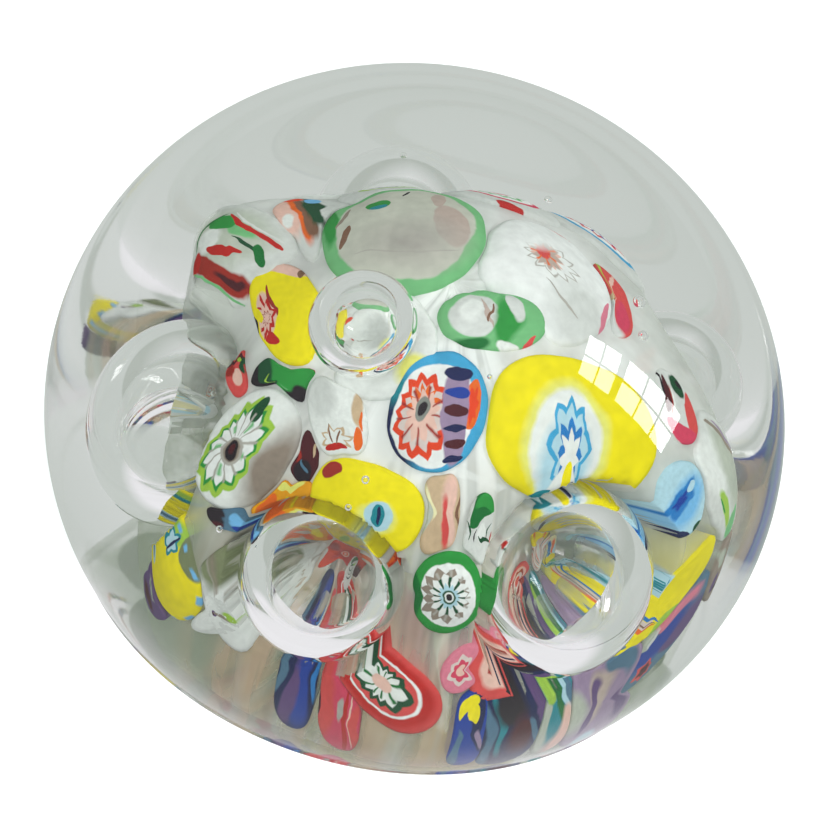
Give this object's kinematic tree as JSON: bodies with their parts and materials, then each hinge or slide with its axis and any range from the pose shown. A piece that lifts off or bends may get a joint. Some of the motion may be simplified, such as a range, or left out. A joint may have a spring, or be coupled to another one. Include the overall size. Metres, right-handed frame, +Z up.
{
  "type": "paperweight",
  "caption": "Round clear glass paperweight with patterned millefiori cane slices and trapped air bubbles inside, flat ground base.",
  "frame": {"origin": "centre of the ground base, on the surface it rests on", "axes": "+Z up along the dome's axis; -Y is the front, the side nearest the viewer"},
  "size_m": [0.0758, 0.0758, 0.052],
  "materials": {
    "outer_gather": "clear colourless crystal with a faint green-grey cast, fire polished; the base is ground",
    "inner_gather": "clear colourless crystal, fused to the casing",
    "orange_strip_cane": "coloured and opal cane glass with a drawn pattern, cased in clear glass",
    "milk_grey_cane": "coloured and opal cane glass with a drawn pattern, cased in clear glass",
    "green_ring_cane": "coloured and opal cane glass with a drawn pattern, cased in clear glass",
    "teal_red_star_cane": "coloured and opal cane glass with a drawn pattern, cased in clear glass",
    "big_yellow_blue_star_cane": "coloured and opal cane glass with a drawn pattern, cased in clear glass",
    "white_green_star_cane": "coloured and opal cane glass with a drawn pattern, cased in clear glass",
    "green_ring_star_cane": "coloured and opal cane glass with a drawn pattern, cased in clear glass",
    "yellow_red_star_cane": "coloured and opal cane glass with a drawn pattern, cased in clear glass",
    "green_clear_cane": "coloured and opal cane glass with a drawn pattern, cased in clear glass",
    "white_pink_star_cane": "coloured and opal cane glass with a drawn pattern, cased in clear glass",
    "yellow_teal_spot_cane": "coloured and opal cane glass with a drawn pattern, cased in clear glass",
    "white_orange_star_cane": "coloured and opal cane glass with a drawn pattern, cased in clear glass",
    "red_lobe_cane": "coloured and opal cane glass with a drawn pattern, cased in clear glass",
    "pink_white_cane": "coloured and opal cane glass with a drawn pattern, cased in clear glass",
    "green_fold_cane": "coloured and opal cane glass with a drawn pattern, cased in clear glass",
    "blue_star_cane": "coloured and opal cane glass with a drawn pattern, cased in clear glass",
    "yellow_blue_star_cane": "coloured and opal cane glass with a drawn pattern, cased in clear glass",
    "red_funnel_cane": "coloured and opal cane glass with a drawn pattern, cased in clear glass",
    "clear_green_star_cane": "coloured and opal cane glass with a drawn pattern, cased in clear glass",
    "slant_ring_cane": "coloured and opal cane glass with a drawn pattern, cased in clear glass",
    "yellow_zigzag_cane": "coloured and opal cane glass with a drawn pattern, cased in clear glass",
    "cloud_white_cane": "coloured and opal cane glass with a drawn pattern, cased in clear glass",
    "violet_side_cane": "coloured and opal cane glass with a drawn pattern, cased in clear glass",
    "emerald_cane": "coloured and opal cane glass with a drawn pattern, cased in clear glass",
    "red_leg_cane": "coloured and opal cane glass with a drawn pattern, cased in clear glass",
    "maroon_cane": "coloured and opal cane glass with a drawn pattern, cased in clear glass",
    "amber_cane": "coloured and opal cane glass with a drawn pattern, cased in clear glass",
    "steel_blue_cane": "coloured and opal cane glass with a drawn pattern, cased in clear glass",
    "tan_cane": "coloured and opal cane glass with a drawn pattern, cased in clear glass",
    "green_white_leg_cane": "coloured and opal cane glass with a drawn pattern, cased in clear glass",
    "red_pink_cane": "coloured and opal cane glass with a drawn pattern, cased in clear glass",
    "red_ribbon_cane": "coloured and opal cane glass with a drawn pattern, cased in clear glass",
    "tall_green_white_cane": "coloured and opal cane glass with a drawn pattern, cased in clear glass",
    "brown_yellow_cane": "coloured and opal cane glass with a drawn pattern, cased in clear glass",
    "blue_band_cane": "coloured and opal cane glass with a drawn pattern, cased in clear glass",
    "pink_fold_cane": "coloured and opal cane glass with a drawn pattern, cased in clear glass",
    "dark_blue_streak_cane": "coloured and opal cane glass with a drawn pattern, cased in clear glass",
    "pink_flower_cane": "coloured and opal cane glass with a drawn pattern, cased in clear glass",
    "blue_line_cane": "coloured and opal cane glass with a drawn pattern, cased in clear glass",
    "navy_cane": "coloured and opal cane glass with a drawn pattern, cased in clear glass",
    "green_streak_cane": "coloured and opal cane glass with a drawn pattern, cased in clear glass",
    "mauve_cane": "coloured and opal cane glass with a drawn pattern, cased in clear glass",
    "red_ring_cane": "coloured and opal cane glass with a drawn pattern, cased in clear glass",
    "white_fan_cane": "coloured and opal cane glass with a drawn pattern, cased in clear glass",
    "orange_fan_cane": "coloured and opal cane glass with a drawn pattern, cased in clear glass",
    "blue_fan_cane": "coloured and opal cane glass with a drawn pattern, cased in clear glass",
    "pale_dimple_cane": "coloured and opal cane glass with a drawn pattern, cased in clear glass",
    "aqua_star_cane": "coloured and opal cane glass with a drawn pattern, cased in clear glass",
    "orange_star_cane": "coloured and opal cane glass with a drawn pattern, cased in clear glass",
    "rose_ring_cane": "coloured and opal cane glass with a drawn pattern, cased in clear glass",
    "lime_star_cane": "coloured and opal cane glass with a drawn pattern, cased in clear glass",
    "cobalt_ring_cane": "coloured and opal cane glass with a drawn pattern, cased in clear glass",
    "white_red_star_cane": "coloured and opal cane glass with a drawn pattern, cased in clear glass",
    "yellow_green_cane": "coloured and opal cane glass with a drawn pattern, cased in clear glass",
    "crimson_streak_cane": "coloured and opal cane glass with a drawn pattern, cased in clear glass",
    "sky_white_cane": "coloured and opal cane glass with a drawn pattern, cased in clear glass",
    "moss_cane": "coloured and opal cane glass with a drawn pattern, cased in clear glass"
  },
  "bodies": {
    "root": {"outer_gather": "outer_gather", "inner_gather": "inner_gather", "orange_strip_cane": "orange_strip_cane", "milk_grey_cane": "milk_grey_cane", "green_ring_cane": "green_ring_cane", "teal_red_star_cane": "teal_red_star_cane", "big_yellow_blue_star_cane": "big_yellow_blue_star_cane", "white_green_star_cane": "white_green_star_cane", "green_ring_star_cane": "green_ring_star_cane", "yellow_red_star_cane": "yellow_red_star_cane", "green_clear_cane": "green_clear_cane", "white_pink_star_cane": "white_pink_star_cane", "yellow_teal_spot_cane": "yellow_teal_spot_cane", "white_orange_star_cane": "white_orange_star_cane", "red_lobe_cane": "red_lobe_cane", "pink_white_cane": "pink_white_cane", "green_fold_cane": "green_fold_cane", "blue_star_cane": "blue_star_cane", "yellow_blue_star_cane": "yellow_blue_star_cane", "red_funnel_cane": "red_funnel_cane", "clear_green_star_cane": "clear_green_star_cane", "slant_ring_cane": "slant_ring_cane", "yellow_zigzag_cane": "yellow_zigzag_cane", "cloud_white_cane": "cloud_white_cane", "violet_side_cane": "violet_side_cane", "emerald_cane": "emerald_cane", "red_leg_cane": "red_leg_cane", "maroon_cane": "maroon_cane", "amber_cane": "amber_cane", "steel_blue_cane": "steel_blue_cane", "tan_cane": "tan_cane", "green_white_leg_cane": "green_white_leg_cane", "red_pink_cane": "red_pink_cane", "red_ribbon_cane": "red_ribbon_cane", "tall_green_white_cane": "tall_green_white_cane", "brown_yellow_cane": "brown_yellow_cane", "blue_band_cane": "blue_band_cane", "pink_fold_cane": "pink_fold_cane", "dark_blue_streak_cane": "dark_blue_streak_cane", "pink_flower_cane": "pink_flower_cane", "blue_line_cane": "blue_line_cane", "navy_cane": "navy_cane", "green_streak_cane": "green_streak_cane", "mauve_cane": "mauve_cane", "red_ring_cane": "red_ring_cane", "white_fan_cane": "white_fan_cane", "orange_fan_cane": "orange_fan_cane", "blue_fan_cane": "blue_fan_cane", "pale_dimple_cane": "pale_dimple_cane", "aqua_star_cane": "aqua_star_cane", "orange_star_cane": "orange_star_cane", "rose_ring_cane": "rose_ring_cane", "lime_star_cane": "lime_star_cane", "cobalt_ring_cane": "cobalt_ring_cane", "white_red_star_cane": "white_red_star_cane", "yellow_green_cane": "yellow_green_cane", "crimson_streak_cane": "crimson_streak_cane", "sky_white_cane": "sky_white_cane", "moss_cane": "moss_cane"}
  },
  "joints": []
}
